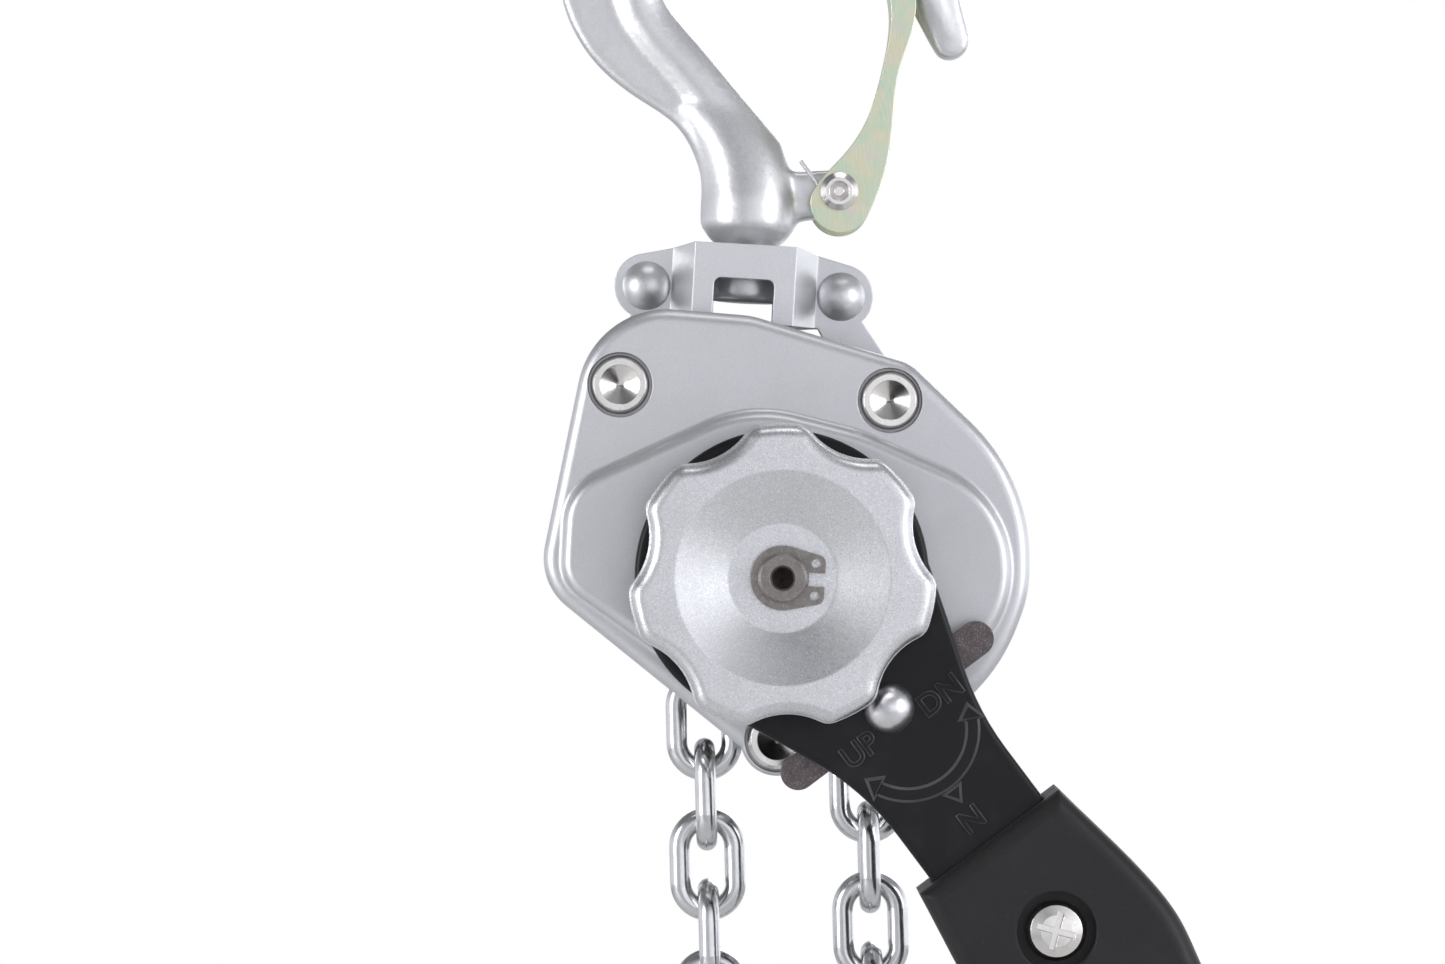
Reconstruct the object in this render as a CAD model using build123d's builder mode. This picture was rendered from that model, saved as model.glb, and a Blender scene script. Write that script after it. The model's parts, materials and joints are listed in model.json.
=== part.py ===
"""Small ratchet lever chain hoist (a "come along"), quarter-tonne class, hanging from its top hook.

Millimetres.  +Z is plumb upwards, -Y is the side with the lever and the hand knob, +X is to the
right seen from that side.  The origin is the seat of the top hook, where the hoist hangs.
The body leans a little as it hangs, because of the lever's weight; the two chain strands are plumb.

Frames are planes whose x is the piece's right, whose y is its up and whose normal looks to the
front, so a "depth" is always a distance towards the front from the middle plane of the chain.
"""
from build123d import *
from math import acos, asin, atan2, cos, degrees, pi, radians, sin, sqrt, tan
import os

os.makedirs("parts", exist_ok=True)

# ---------------------------------------------------------------- attitude
hang_angle = 4.8  # lean of the body from plumb
seat_height = 120.5  # top hook's seat above the drive axis
yoke_x = -8.8  # top hook's axis beside the drive axis
hook_swivel = 0.0  # turn of the top hook about its shank

# ---------------------------------------------------------------- chain
chain_wire = 3.6
chain_pitch = 12.0
chain_width = 13.0
link_play = 0.06  # gap left where two links bear on each other
load_links = 11  # hanging links of the load strand, odd so that the last one faces the front
tail_links = 5  # hanging links of the tail strand
sheave_links = 8  # links once round the load sheave
sheave_phase = 8.1  # how far the sheave has turned past the level link
load_x = -13.5  # load strand beside the drive axis
tail_x = 14.1
tail_top = -7.7  # centre of the tail's first link, beside the sheave
tail_slack = 2.2  # how far each unloaded tail link rides up into the one above
load_lead = 0.3  # first links beside the sheave stand further out than their strands
tail_leads = (0.5, 0.15, 0.0, 0.0)

# ---------------------------------------------------------------- frame plates and stays
plate_gap = 19.0  # between the two side plates
plate_thickness = 3.0
plate_inset = 1.9  # side plates stand in from the casings
stay_points = ((-28.5, 30.0), (16.5, 30.0), (1.0, -27.5))
stay_radius = 2.5
stay_clearance = 0.15
spacer_radius = 4.2
lay_x, lay_z = 19.9, 2.0  # axis of the gear cluster

# ---------------------------------------------------------------- casings
casing_lobes = (
    (-20.5, 28.0, 15.1),
    (-9.0, 29.8, 13.0),
    (16.5, 30.0, 6.9),
    (9.7, 3.2, 31.7),
    (20.0, 2.0, 21.5),
    (1.0, -27.5, 4.8),
    (-29.3, 1.0, 10.3),
)
lobe_radius = 6.1  # round foot of the casing under the lowest stay
drum_lobes = (
    (-3.3, 4.0, 22.8),
    (6.0, 3.0, 22.0),
    (20.0, 2.0, 18.0),
    (-27.0, 6.8, 9.3),
    (-29.3, 0.5, 7.0),
    (-3.5, -21.0, 2.5),
)
gear_lobes = ((0.0, 0.0, 20.0), (-5.0, 3.0, 17.5), (19.9, 2.0, 17.5))
casing_wall = 1.6
cover_flange = 21.8  # depth of the front cover's flange face
cover_front = 26.0  # depth of the front cover's raised face
gear_flange = 3.0  # thickness of the rear cover's flange
gear_drum = 25.0  # how far the rear cover reaches behind the side plate
boss_radius = 5.7
recess_radius = 5.4

# ---------------------------------------------------------------- brake and drive
shaft_radius = 5.5
thread_radius = 4.5
tip_radius = 4.0
shaft_tip = 50.3
running = 0.05  # radial clearance of a running fit
journal_radius = 10.9
bearing_wall = 1.05
ratchet_teeth = 14
ratchet_tip = 20.7
ratchet_root = 18.4
ratchet_depth = 16.9
ratchet_thickness = 2.8
lining_thickness = 1.5
flange_radius = 17.4
gear_module = 1.25
small_teeth = 12
large_teeth = 20
gear_width = 5.6
change_teeth = 16
change_tip = 17.0
change_root = 14.4

# ---------------------------------------------------------------- lever
lever_angle = -49.8  # direction of the lever in the body's frame
lever_side = 1.1  # blade's centre line beside the drive axis
lever_disc = 24.0
lever_back = 27.4
lever_front = 38.5
lever_sheet = 1.6
blade_half = 11.35
blade_end = 151.0
grip_start = 54.5
grip_end = 163.0
grip_front = 42.6
grip_back = 25.2
grip_split = 33.4
grip_screw_x = 72.5
selector_x = 27.5
selector_reach = 18.3
tab_radius = 2.9
dome_radius = 4.15
dome_height = 3.3

# ---------------------------------------------------------------- hand knob
knob_lobes = 7
knob_radius = 24.5
knob_valley = 21.7
knob_back = 42.6
knob_front = 50.6
knob_turn = 94.8
dish_radius = 17.3
dish_depth = 2.6
hub_face_radius = 8.8

# ---------------------------------------------------------------- hooks
shank_radius = 8.2
neck_radius = 4.8
head_radius = 6.3
bead_radius = 4.6
tip_bead = 3.4
web_half = 2.8
latch_x, latch_z = 15.2, -55.3
latch_half = 6.2
latch_sheet = 1.2
yoke_sheet = 2.5
yoke_bulge = 11.2
rivet_half_span = 16.6
rivet_below_seat = 73.0
pin_below_seat = 88.0  # chain pin of the bottom hook
pin_radius = 2.3

# ---------------------------------------------------------------- frames
lean = radians(hang_angle)
right = Vector(cos(lean), 0, -sin(lean))
up = Vector(sin(lean), 0, cos(lean))
front = Vector(0, -1, 0)
hub = (right * yoke_x + up * seat_height) * -1
hoist = Plane(origin=hub, x_dir=right, z_dir=front)
plumb = Plane(origin=hub, x_dir=(1, 0, 0), z_dir=front)
top_seat = Plane(origin=(0, 0, 0), x_dir=right, z_dir=front)
plate_inner = plate_gap / 2
plate_outer = plate_inner + plate_thickness


def elevation(frame, depth=0.0, x=0.0, z=0.0, turn=0.0):
    """Plane that faces the front at a depth, with its origin at (x, z) of the frame."""
    return Plane(frame.location * Location((x, z, depth), (0, 0, turn)))


def section(frame, x=0.0, z=0.0):
    """Plane through a front-to-back axis at (x, z): its x is the radius and its y the depth."""
    return Plane(origin=frame.from_local_coords((x, z, 0)), x_dir=frame.x_dir, z_dir=frame.y_dir * -1)


def plan(frame, height, x=0.0):
    """Level plane of the frame at a height: its x is the frame's x and its y runs to the back."""
    return Plane(origin=frame.from_local_coords((x, height, 0)), x_dir=frame.x_dir, z_dir=frame.y_dir)


def front_axis(frame, x=0.0, z=0.0):
    return Axis(frame.from_local_coords((x, z, 0)), frame.z_dir)


def turned(frame, profile, x=0.0, z=0.0):
    """Solid of revolution about a front-to-back axis, from (radius, depth) corners."""
    with BuildPart() as piece:
        with BuildSketch(section(frame, x, z)):
            with BuildLine():
                Polyline(*profile, close=True)
            make_face()
        revolve(axis=front_axis(frame, x, z))
    return piece


def ring(frame, inner, outer, back, face, x=0.0, z=0.0):
    return turned(frame, ((inner, back), (outer, back), (outer, face), (inner, face)), x, z)


def rod(frame, radius, back, face, x=0.0, z=0.0):
    return turned(frame, ((0, back), (radius, back), (radius, face), (0, face)), x, z)


def group(*members):
    """Several separate solids that share one node."""
    with BuildPart() as together:
        for member in members:
            add(member.part)
    return together


def save(piece, name):
    piece.part.label = name
    export_step(piece.part, f"parts/{name}.step")
    pieces[name] = piece.part


pieces = {}


# ================================================================ chain
link_half = (chain_pitch + link_play + chain_wire) / 2
link_straight = link_half - (chain_width - chain_wire) / 2
link_nest = 0.3
link_pull = 0.7


def make_link():
    """One welded link, standing in the X-Z plane with its centre at the origin."""
    half = (chain_width - chain_wire) / 2
    straight = link_straight
    with BuildPart() as one_link:
        with BuildLine(Plane.XZ):
            Line((-half, -straight), (-half, straight))
            ThreePointArc((-half, straight), (0, straight + half), (half, straight))
            Line((half, straight), (half, -straight))
            ThreePointArc((half, -straight), (0, -straight - half), (-half, -straight))
        with BuildSketch(Plane(origin=(-half, 0, 0), x_dir=(1, 0, 0), z_dir=(0, 0, 1))):
            Circle(chain_wire / 2)
        sweep()
    return one_link


link = make_link()


def strand_place(x, z, crossed):
    """A link hanging plumb; a crossed one is seen edge-on from the front."""
    spot = plumb.from_local_coords((x, z, 0))
    return Location(spot, (0, 0, 90 if crossed else 0))


def links(places):
    with BuildPart() as chain:
        with Locations(*places):
            add(link.part)
    return chain


# Links lie round the sheave by turns upright, in the middle plane, and flat, in its pockets.  Each
# flat link's end wire sits in the bend of the upright one beside it, off its middle by the nest
# across the link and by the pull along it.
link_step = 360 / sheave_links
bend = radians(link_step)
flat_radius = (link_straight + link_pull + link_half * cos(bend)) / sin(bend)
upright_radius = flat_radius * cos(bend) + link_half * sin(bend) - link_nest
sheave_places = []
for number in range(5):
    angle = 180 + sheave_phase - number * link_step
    radius = flat_radius if number % 2 else upright_radius
    spot = plumb.from_local_coords((radius * cos(radians(angle)), radius * sin(radians(angle)), 0))
    sheave_places.append(Location(spot, (0, -angle, 0)) * Location((0, 0, 0), (0, 0, 90 * (number % 2))))
last_bend_z = -upright_radius * sin(radians(sheave_phase)) - link_straight * cos(radians(sheave_phase))
load_first_z = last_bend_z - link_pull - link_half
load_inside = strand_place(load_x - load_lead, load_first_z, True)
load_pivot_z = load_first_z - (chain_pitch - link_play) / 2
tail_inside = []
for number, lead in enumerate(tail_leads):
    z = tail_top - (chain_pitch - tail_slack) * number
    tail_inside.append(strand_place(tail_x + lead, z, number % 2 == 0))
tail_pivot_z = tail_top - (chain_pitch - tail_slack) * (len(tail_leads) - 1) - chain_pitch / 2
chain_on_sheave = links(sheave_places + [load_inside] + tail_inside)
save(chain_on_sheave, "chain_on_sheave")

load_places = []
for number in range(load_links):
    load_places.append(strand_place(load_x, load_pivot_z - chain_pitch * (number + 0.5), number % 2 == 1))
load_chain = links(load_places)
save(load_chain, "load_chain")

tail_places = []
for number in range(tail_links):
    tail_places.append(strand_place(tail_x, tail_pivot_z - chain_pitch * (number + 0.5), number % 2 == 0))
tail_chain = links(tail_places)
save(tail_chain, "tail_chain")

# A strand swings about the middle of the round bend on which its first link bears: the bend is in
# the hanging link of the load strand, and in the link above the tail strand.
load_swing_z = load_pivot_z - chain_pitch / 2 + link_straight
tail_swing_z = tail_pivot_z + chain_pitch / 2 - link_straight

stop_ring_radius = 9.0
last_tail_z = tail_pivot_z - chain_pitch * (tail_links - 0.5)
tail_end_z = last_tail_z - chain_pitch / 2 - link_play / 2 + chain_wire / 2 + 0.05 - stop_ring_radius
with BuildPart() as tail_stop_ring:
    with BuildSketch(section(plumb, tail_x, tail_end_z)):
        with Locations((stop_ring_radius, 0)):
            Circle(chain_wire / 2)
    revolve(axis=front_axis(plumb, tail_x, tail_end_z))
save(tail_stop_ring, "tail_stop_ring")

# ================================================================ load sheave and its bearings
groove_half = 2.5
pocket_half = 7.2
flange_half = 9.2
groove_floor = upright_radius - chain_width / 2 - 0.35
pocket_floor = flat_radius - chain_wire / 2 - 0.3
sheave_rim = 19.0
sheave_bore = shaft_radius + running
spline_radius = 8.9
spline_end = plate_outer + 0.7 + gear_width
load_sheave = turned(
    plumb,
    (
        (sheave_bore, -spline_end),
        (spline_radius, -spline_end),
        (spline_radius, -plate_outer),
        (journal_radius, -plate_outer),
        (journal_radius, -flange_half),
        (sheave_rim, -flange_half),
        (sheave_rim, -pocket_half),
        (pocket_floor, -pocket_half),
        (pocket_floor, -groove_half),
        (groove_floor, -groove_half),
        (groove_floor, groove_half),
        (pocket_floor, groove_half),
        (pocket_floor, pocket_half),
        (sheave_rim, pocket_half),
        (sheave_rim, flange_half),
        (journal_radius, flange_half),
        (journal_radius, plate_outer),
        (sheave_bore, plate_outer),
    ),
)
save(load_sheave, "load_sheave")

bearing_outer = journal_radius + running + bearing_wall
sheave_bearings = group(
    ring(plumb, journal_radius + running, bearing_outer, plate_inner, plate_outer),
    ring(plumb, journal_radius + running, bearing_outer, -plate_outer, -plate_inner),
)
save(sheave_bearings, "sheave_bearings")


# ================================================================ gears
def gear_outline(teeth, turn):
    """Closed involute gear outline; one tooth's middle lies at the angle turn, in degrees."""
    pitch_r = gear_module * teeth / 2
    base_r = pitch_r * cos(radians(20))
    tip_r = pitch_r + 0.85 * gear_module
    root_r = pitch_r - 1.1 * gear_module
    backlash = 0.14

    def half_tooth(radius):
        pressure = acos(min(1.0, base_r / radius))
        involute = tan(pressure) - pressure
        rolled = tan(radians(20)) - radians(20)
        return (pi * gear_module / 2 - backlash) / (2 * pitch_r) + rolled - involute

    steps = 5
    low = max(root_r, base_r)
    radii = [low + (tip_r - low) * step / (steps - 1) for step in range(steps)]
    flank = [(radius, half_tooth(radius)) for radius in radii]
    if root_r < base_r:
        flank.insert(0, (root_r, half_tooth(base_r)))
    points = []
    for tooth in range(teeth):
        middle = radians(turn) + 2 * pi * tooth / teeth
        for radius, half in flank:
            points.append((radius * cos(middle - half), radius * sin(middle - half)))
        for radius, half in reversed(flank):
            points.append((radius * cos(middle + half), radius * sin(middle + half)))
    with BuildSketch(Plane.XY, mode=Mode.PRIVATE) as toothed:
        with BuildLine():
            Polyline(*points, close=True)
        make_face()
    return toothed.sketch_local


def gear_wheel(teeth, turn, back, face, bore, x=0.0, z=0.0):
    with BuildPart() as wheel:
        with BuildSketch(elevation(hoist, back, x, z)):
            add(gear_outline(teeth, turn))
            if bore:
                Circle(bore, mode=Mode.SUBTRACT)
        extrude(amount=face - back)
    return wheel


lay_angle = degrees(atan2(lay_z, lay_x))
load_gear_face = -(plate_outer + 0.7)
load_gear_back = load_gear_face - gear_width
drive_gear_face = load_gear_back - 2.2
drive_gear_back = drive_gear_face - gear_width
load_gear = gear_wheel(large_teeth, lay_angle, load_gear_back, load_gear_face, spline_radius)
save(load_gear, "load_gear")

lay_pin_radius = 3.0
half_small = 180 / small_teeth
half_large = 180 / large_teeth
lay_pinion_turn = lay_angle + 180 + half_small
lay_wheel_turn = lay_angle + 180 + half_large
with BuildPart() as gear_cluster:
    bore = lay_pin_radius + running
    add(gear_wheel(small_teeth, lay_pinion_turn, drive_gear_face, load_gear_face, bore, lay_x, lay_z).part)
    add(gear_wheel(large_teeth, lay_wheel_turn, drive_gear_back, drive_gear_face, bore, lay_x, lay_z).part)
save(gear_cluster, "gear_cluster")

gear_inside = -(plate_outer + gear_drum) + casing_wall
gear_axle = rod(hoist, lay_pin_radius, gear_inside, -plate_inner - 0.2, lay_x, lay_z)
save(gear_axle, "gear_axle")

# ================================================================ drive shaft
rear_journal = 3.45
groove_back = knob_front - dish_depth + 0.3
clip_thickness = 0.9
clip_groove_radius = 3.6
with BuildPart() as drive_shaft:
    add(
        turned(
            hoist,
            (
                (0, gear_inside + 0.3),
                (rear_journal, gear_inside + 0.3),
                (rear_journal, drive_gear_back),
                (shaft_radius, drive_gear_back),
                (shaft_radius, plate_outer + 0.9),
                (thread_radius, plate_outer + 0.9),
                (thread_radius, 46.0),
                (tip_radius, 46.0),
                (tip_radius, groove_back),
                (clip_groove_radius, groove_back),
                (clip_groove_radius, groove_back + clip_thickness + 0.1),
                (tip_radius, groove_back + clip_thickness + 0.1),
                (tip_radius, shaft_tip - 0.4),
                (tip_radius - 0.4, shaft_tip),
                (2.1, shaft_tip),
                (1.75, shaft_tip - 0.5),
                (1.75, shaft_tip - 6.0),
                (0, shaft_tip - 7.0),
            ),
        ).part
    )
    add(gear_wheel(small_teeth, lay_angle, drive_gear_back, drive_gear_face, 0).part)
save(drive_shaft, "drive_shaft")

# ================================================================ load brake
brake_back = plate_outer + 0.9
lining_back = ratchet_depth - lining_thickness
lining_front = ratchet_depth + ratchet_thickness
brake_sleeve = 8.4
brake_hub = turned(
    hoist,
    (
        (thread_radius, brake_back),
        (flange_radius, brake_back),
        (flange_radius, lining_back),
        (brake_sleeve, lining_back),
        (brake_sleeve, lining_front + lining_thickness),
        (thread_radius, lining_front + lining_thickness),
    ),
)
save(brake_hub, "brake_hub")

lining_bore = brake_sleeve + 0.15
friction_linings = group(
    ring(hoist, lining_bore, flange_radius - 0.2, lining_back, ratchet_depth),
    ring(hoist, lining_bore, flange_radius - 0.2, lining_front, lining_front + lining_thickness),
)
save(friction_linings, "friction_linings")

with BuildPart() as ratchet_disc:
    with BuildSketch(elevation(hoist, ratchet_depth)):
        corners = []
        for tooth in range(ratchet_teeth):
            start = 2 * pi * tooth / ratchet_teeth
            finish = 2 * pi * (tooth + 0.92) / ratchet_teeth
            corners.append((ratchet_tip * cos(start), ratchet_tip * sin(start)))
            corners.append((ratchet_root * cos(finish), ratchet_root * sin(finish)))
        with BuildLine():
            Polyline(*corners, close=True)
        make_face()
        Circle(brake_sleeve + running, mode=Mode.SUBTRACT)
    extrude(amount=ratchet_thickness)
save(ratchet_disc, "ratchet_disc")

nose_radius = 7.8
hub_radius = 11.6
change_back = 31.2
change_width = 4.9
threaded_hub = turned(
    hoist,
    (
        (thread_radius + running, lining_front + lining_thickness),
        (flange_radius, lining_front + lining_thickness),
        (flange_radius, lining_front + lining_thickness + 2.2),
        (hub_radius, lining_front + lining_thickness + 2.2),
        (hub_radius, change_back),
        (nose_radius, change_back),
        (nose_radius, 46.0),
        (thread_radius + running, 46.0),
    ),
)
save(threaded_hub, "threaded_hub")

with BuildPart() as change_gear:
    with BuildSketch(elevation(hoist, change_back)):
        Circle(change_root)
        with PolarLocations((change_root + change_tip) / 2 - 0.5, change_teeth):
            Rectangle(change_tip - change_root + 1, 3.0)
        Circle(nose_radius, mode=Mode.SUBTRACT)
    extrude(amount=change_width)
save(change_gear, "change_gear")

# The pawl rides on the crest of a ratchet tooth.
pawl_x, pawl_z = -30.0, 6.0
pawl_pin_radius = 1.8
nose_x, nose_z = -21.55, -3.1
with BuildPart() as pawl:
    with BuildSketch(elevation(hoist, ratchet_depth + 0.1)):
        with Locations((pawl_x, pawl_z)):
            Circle(3.3)
        with Locations((nose_x, nose_z)):
            Circle(0.9)
        make_hull()
        with Locations((pawl_x, pawl_z)):
            Circle(pawl_pin_radius + running, mode=Mode.SUBTRACT)
    extrude(amount=ratchet_thickness - 0.2)
save(pawl, "pawl")

pawl_pin = rod(hoist, pawl_pin_radius, plate_inner, cover_flange - casing_wall - 0.1, pawl_x, pawl_z)
save(pawl_pin, "pawl_pin")


def coil(place, radius, wire, turns, pitch):
    """Helical spring whose axis is the plane's normal, starting at its origin."""
    with BuildPart() as upright:
        with BuildLine() as wire_path:
            Helix(pitch=pitch, height=pitch * turns, radius=radius)
        with BuildSketch(wire_path.line ^ 0):
            Circle(wire / 2)
        sweep()
    with BuildPart() as spring:
        with Locations(place.location):
            add(upright.part)
    return spring


def dome_middle(radius, height):
    """Middle point of a round dome's profile, as (radius, height) above its rim."""
    ball = (radius**2 + height**2) / (2 * height)
    half_angle = asin(radius / ball) / 2
    return ball * sin(half_angle), height - ball + ball * cos(half_angle)


pawl_spring = coil(elevation(hoist, plate_outer + 0.6, pawl_x, pawl_z), 2.6, 0.7, 3, 0.9)
save(pawl_spring, "pawl_spring")


# ================================================================ side plates, stays and casings
def casing_outline(grow):
    """Outline shared by side plates and casings, larger by grow all round."""
    for x, z, radius in casing_lobes:
        with Locations((x, z)):
            Circle(radius + grow)
    make_hull()
    with Locations(stay_points[2]):
        Circle(lobe_radius + grow)


def drum_outline(lobes, grow):
    for x, z, radius in lobes:
        with Locations((x, z)):
            Circle(radius + grow)
    make_hull()


def side_plate(back, holes):
    with BuildPart() as plate:
        with BuildSketch(elevation(hoist, back)):
            casing_outline(-plate_inset)
            Circle(bearing_outer, mode=Mode.SUBTRACT)
            with Locations(*stay_points):
                Circle(stay_radius + stay_clearance, mode=Mode.SUBTRACT)
            for x, z, radius in holes:
                with Locations((x, z)):
                    Circle(radius, mode=Mode.SUBTRACT)
        extrude(amount=plate_thickness)
    return plate


front_side_plate = side_plate(plate_inner, ((pawl_x, pawl_z, pawl_pin_radius),))
save(front_side_plate, "front_side_plate")
rear_side_plate = side_plate(-plate_outer, ((lay_x, lay_z, lay_pin_radius),))
save(rear_side_plate, "rear_side_plate")

with BuildPart() as brake_cover:
    with BuildSketch(elevation(hoist, plate_outer)):
        casing_outline(0)
    extrude(amount=cover_flange - plate_outer)
    fillet(brake_cover.edges().group_by(front_axis(hoist))[-1], 2.2)
    with BuildSketch(elevation(hoist, cover_flange - casing_wall)):
        drum_outline(drum_lobes, 0)
    extrude(amount=cover_front - cover_flange + casing_wall)
    drum_edges = brake_cover.edges(Select.LAST)
    fillet(drum_edges.filter_by_position(front_axis(hoist), cover_flange - 0.01, cover_flange + 0.01), 0.9)
    fillet(brake_cover.edges().group_by(front_axis(hoist))[-1], 1.8)
    with BuildSketch(elevation(hoist, plate_outer)):
        casing_outline(-casing_wall)
        with Locations(*stay_points):
            Circle(boss_radius, mode=Mode.SUBTRACT)
    extrude(amount=cover_flange - casing_wall - plate_outer, mode=Mode.SUBTRACT)
    with BuildSketch(elevation(hoist, plate_outer)):
        drum_outline(drum_lobes, -casing_wall - 0.4)
        with Locations(*stay_points):
            Circle(boss_radius, mode=Mode.SUBTRACT)
    extrude(amount=cover_front - casing_wall - plate_outer, mode=Mode.SUBTRACT)
    with BuildSketch(elevation(hoist, plate_outer)):
        Circle(hub_radius + 0.6)
    extrude(amount=cover_front, mode=Mode.SUBTRACT)
    with Locations(*[elevation(hoist, cover_front, x, z).location for x, z in stay_points]):
        CounterBoreHole(
            radius=stay_radius + stay_clearance,
            counter_bore_radius=recess_radius,
            counter_bore_depth=cover_front - cover_flange + 2.4,
            depth=cover_front,
        )
save(brake_cover, "brake_cover")

with BuildPart() as gear_cover:
    with BuildSketch(elevation(hoist, -plate_outer - gear_flange)):
        casing_outline(0)
    extrude(amount=gear_flange)
    fillet(gear_cover.edges().group_by(front_axis(hoist))[0], 1.5)
    with BuildSketch(elevation(hoist, -plate_outer - gear_drum)):
        drum_outline(gear_lobes, 0)
    extrude(amount=gear_drum - 0.5)
    fillet(gear_cover.edges().group_by(front_axis(hoist))[0], 3.5)
    with BuildSketch(elevation(hoist, -plate_outer - gear_drum + casing_wall)):
        drum_outline(gear_lobes, -casing_wall)
    extrude(amount=gear_drum - casing_wall, mode=Mode.SUBTRACT)
    with BuildSketch(elevation(hoist, -plate_outer - gear_drum + casing_wall - 0.5)):
        Circle(6.5)
        with Locations((lay_x, lay_z)):
            Circle(6.0)
    extrude(amount=4.5)
    with Locations(elevation(hoist, -plate_outer - gear_drum + casing_wall + 4.0).location):
        Hole(rear_journal + running, depth=4.0)
    with Locations(elevation(hoist, -plate_outer - gear_drum + casing_wall + 4.0, lay_x, lay_z).location):
        Hole(lay_pin_radius, depth=4.0)
    with Locations(*[elevation(hoist, -plate_outer, x, z).location for x, z in stay_points]):
        Hole(stay_radius + stay_clearance, depth=gear_flange)
save(gear_cover, "gear_cover")

head_seat = cover_flange - 2.4
head_height = 3.0
nut_seat = -plate_outer - gear_flange
bolts = []
nuts = []
for x, z in stay_points:
    bolts.append(
        turned(
            hoist,
            (
                (0, nut_seat - 5.2),
                (stay_radius, nut_seat - 5.2),
                (stay_radius, head_seat),
                (4.9, head_seat),
                (4.9, head_seat + head_height - 0.9),
                (4.3, head_seat + head_height),
                (3.3, head_seat + head_height),
                (3.3, head_seat + head_height - 0.5),
                (0, head_seat + head_height - 2.0),
            ),
            x,
            z,
        )
    )
    with BuildPart() as nut:
        with BuildSketch(elevation(hoist, nut_seat - 4.0, x, z)):
            RegularPolygon(4.3, 6)
            Circle(stay_radius, mode=Mode.SUBTRACT)
        extrude(amount=4.0)
    nuts.append(nut)
stay_bolts = group(*bolts)
save(stay_bolts, "stay_bolts")
stay_nuts = group(*nuts)
save(stay_nuts, "stay_nuts")

spacer_bore = stay_radius + stay_clearance
stay_spacers = group(
    *[
        ring(hoist, spacer_bore, spacer_radius, side * (yoke_sheet + 0.1), side * plate_inner, x, z)
        for x, z in stay_points[:2]
        for side in (-1, 1)
    ],
    ring(hoist, spacer_bore, spacer_radius, -plate_inner, plate_inner, *stay_points[2]),
)
save(stay_spacers, "stay_spacers")

guide_sheet = 2.2
guide_gap = 1.6
with BuildPart() as chain_guides:
    with BuildSketch(elevation(plumb, -plate_inner)):
        with Locations((load_x - chain_width / 2 - guide_gap - guide_sheet / 2, -2.0)):
            RectangleRounded(guide_sheet, 16.0, 0.8)
        with Locations((tail_x + chain_width / 2 + guide_gap + guide_sheet / 2, -7.0)):
            RectangleRounded(guide_sheet, 22.0, 0.8)
    extrude(amount=plate_gap)
save(chain_guides, "chain_guides")

stripper_half = 1.9
stay_x, stay_z = stay_points[2]
with BuildPart() as chain_stripper:
    with BuildSketch(elevation(hoist, -stripper_half)):
        with Locations((stay_x, stay_z + spacer_radius + 2.3)):
            Circle(2.2)
        with Locations((0.6, -groove_floor - 3.4)):
            Circle(2.6)
        make_hull()
    extrude(amount=2 * stripper_half)
save(chain_stripper, "chain_stripper")


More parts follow.
